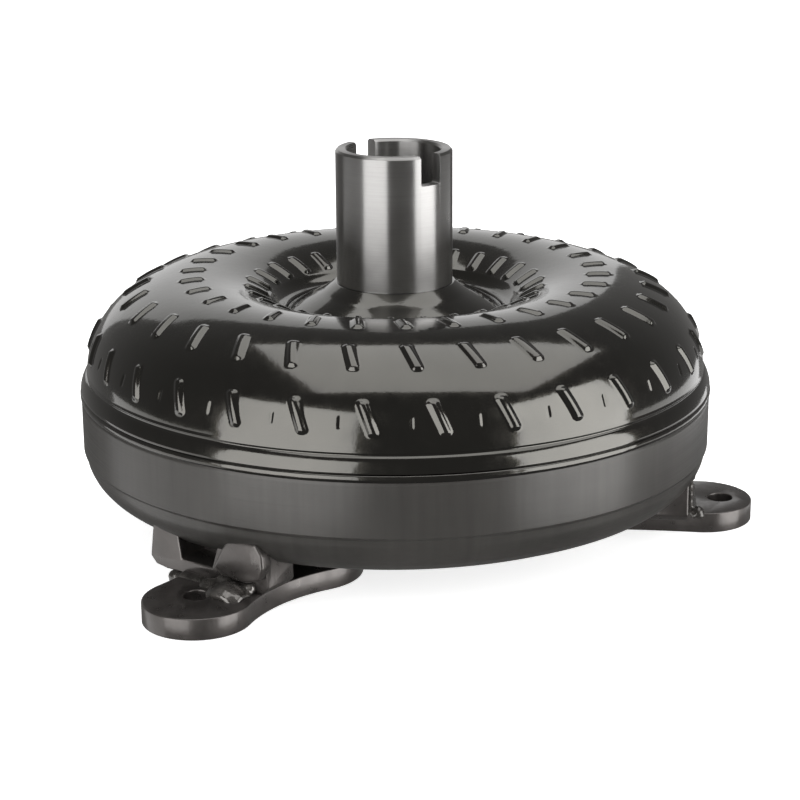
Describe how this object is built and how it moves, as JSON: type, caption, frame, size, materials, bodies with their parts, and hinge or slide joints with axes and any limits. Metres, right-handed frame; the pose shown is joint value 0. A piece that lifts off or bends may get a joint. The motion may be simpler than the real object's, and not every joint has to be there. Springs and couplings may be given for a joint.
{
  "type": "torque converter",
  "caption": "Welded automatic-transmission torque converter: torus-shaped impeller shell with embossed blade tabs, front cover, slotted pump hub, flexplate mounts, turbine and stator inside.",
  "frame": {"origin": "centre of the flexplate bolt circle, on the mounting face of the plates", "axes": "+Z along the converter's axis towards the transmission, out of the pump hub; -Y is the side the picture shows, +X to its right"},
  "size_m": [0.2799, 0.2782, 0.1565],
  "materials": {
    "shell_coating": "deep gloss dark olive-grey coating over pressed steel",
    "seam_coating": "gloss coating over a machined weld",
    "cover_coating": "satin dark grey coating over a turned wall",
    "hub_steel": "ground and polished tube",
    "mount_coating": "semi-gloss black coating on sawn plate",
    "mount_weld_bead": "coated weld bead",
    "machined_steel": "turned",
    "pressed_steel": "pressed and brazed sheet",
    "stator_aluminium": "die cast",
    "bearing_steel": "ground"
  },
  "bodies": {
    "case": {"impeller_shell": "shell_coating", "impeller_blades": "pressed_steel", "impeller_core_ring": "pressed_steel", "pump_hub": "hub_steel", "hub_flange": "shell_coating", "hub_weld": "shell_coating", "front_cover": "cover_coating", "closure_weld": "seam_coating", "crank_pilot": "machined_steel", "pilot_weld": "mount_weld_bead", "anti_balloon_plate": "pressed_steel", "mount_plate_1": "mount_coating", "mount_plate_2": "mount_coating", "mount_plate_3": "mount_coating", "mount_upright_1": "mount_coating", "mount_upright_2": "mount_coating", "mount_upright_3": "mount_coating", "mount_weld_1": "mount_weld_bead", "mount_weld_2": "mount_weld_bead", "mount_weld_3": "mount_weld_bead", "front_bearing_lower_race": "bearing_steel", "rear_bearing_upper_race": "bearing_steel"},
    "turbine": {"turbine_shell": "pressed_steel", "turbine_blades": "pressed_steel", "turbine_core_ring": "pressed_steel", "turbine_hub": "machined_steel", "turbine_rivets": "machined_steel", "front_bearing_upper_race": "bearing_steel", "middle_bearing_lower_race": "bearing_steel"},
    "stator": {"stator_casting": "stator_aluminium", "stator_cam": "bearing_steel", "stator_front_cap": "machined_steel", "stator_rear_cap": "machined_steel", "clutch_rollers": "bearing_steel", "clutch_springs": "bearing_steel", "middle_bearing_upper_race": "bearing_steel", "rear_bearing_lower_race": "bearing_steel"},
    "inner_race": {"stator_inner_race": "bearing_steel"},
    "front_cage": {"front_bearing_cage": "bearing_steel", "front_bearing_needles": "bearing_steel"},
    "middle_cage": {"middle_bearing_cage": "bearing_steel", "middle_bearing_needles": "bearing_steel"},
    "rear_cage": {"rear_bearing_cage": "bearing_steel", "rear_bearing_needles": "bearing_steel"}
  },
  "joints": [
    {"name": "turbine_spin", "type": "hinge", "parent": "case", "child": "turbine", "pos_m": [0, 0, 0.034], "axis": [0, 0, 1], "continuous": true},
    {"name": "stator_spin", "type": "hinge", "parent": "case", "child": "stator", "pos_m": [0, 0, 0.065], "axis": [0, 0, 1], "continuous": true},
    {"name": "race_spin", "type": "hinge", "parent": "stator", "child": "inner_race", "pos_m": [0, 0, 0.065], "axis": [0, 0, 1], "continuous": true},
    {"name": "front_cage_spin", "type": "hinge", "parent": "case", "child": "front_cage", "pos_m": [0, 0, 0.021], "axis": [0, 0, 1], "continuous": true},
    {"name": "middle_cage_spin", "type": "hinge", "parent": "case", "child": "middle_cage", "pos_m": [0, 0, 0.046], "axis": [0, 0, 1], "continuous": true},
    {"name": "rear_cage_spin", "type": "hinge", "parent": "case", "child": "rear_cage", "pos_m": [0, 0, 0.084], "axis": [0, 0, 1], "continuous": true}
  ],
  "couplings": [
    {"joint": "front_cage_spin", "follows": "turbine_spin", "ratio": 0.5},
    {"joint": "middle_cage_spin", "follows": "turbine_spin", "ratio": 0.5},
    {"joint": "rear_cage_spin", "follows": "stator_spin", "ratio": 0.5}
  ]
}
